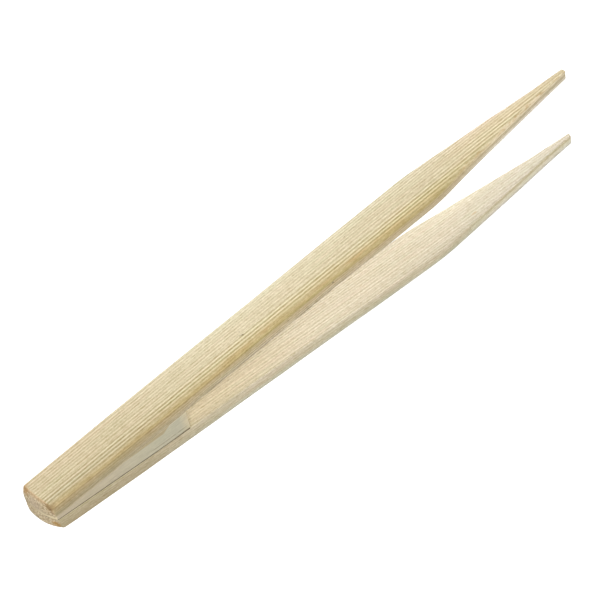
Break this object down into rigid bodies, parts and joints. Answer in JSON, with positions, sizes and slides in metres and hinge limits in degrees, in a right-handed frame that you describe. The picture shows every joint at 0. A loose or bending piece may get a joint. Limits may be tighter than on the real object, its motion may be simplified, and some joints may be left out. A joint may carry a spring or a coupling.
{
  "type": "print tongs",
  "caption": "Sprung bamboo tongs for handling wet photographic prints: two tapered blades glued to a wedge, squeezed until the pointed tips meet.",
  "frame": {"origin": "centre of the wedge's flat tip-side end, in the crotch where the two blades part", "axes": "+X from the crotch to the tips, +Y across the blades, +Z through the upper blade; Z = 0 is the mirror plane between the blades"},
  "size_m": [0.216, 0.0144, 0.029],
  "materials": {
    "upper_blade": "planed bamboo, matt, fine lengthwise fibre lines",
    "lower_blade": "planed bamboo, matt, pale inner face",
    "wedge": "sanded greyish hardwood",
    "glue": "dried brown wood glue"
  },
  "bodies": {
    "butt": {"upper_blade_root": "upper_blade", "lower_blade_root": "lower_blade", "wedge_spacer": "wedge", "upper_glue_line": "glue", "lower_glue_line": "glue"},
    "upper_arm": {"upper_blade_arm": "upper_blade"},
    "lower_arm": {"lower_blade_arm": "lower_blade"}
  },
  "joints": [
    {"name": "upper_blade_flex", "type": "hinge", "parent": "butt", "child": "upper_arm", "pos_m": [0.0252, 0, 0.00673], "axis": [0, 1, 0], "range_deg": [0, 4.4], "stiffness_Nm_per_rad": 2.2},
    {"name": "lower_blade_flex", "type": "hinge", "parent": "butt", "child": "lower_arm", "pos_m": [0.0252, 0, -0.00673], "axis": [0, -1, 0], "range_deg": [0, 4.4], "stiffness_Nm_per_rad": 2.2}
  ]
}
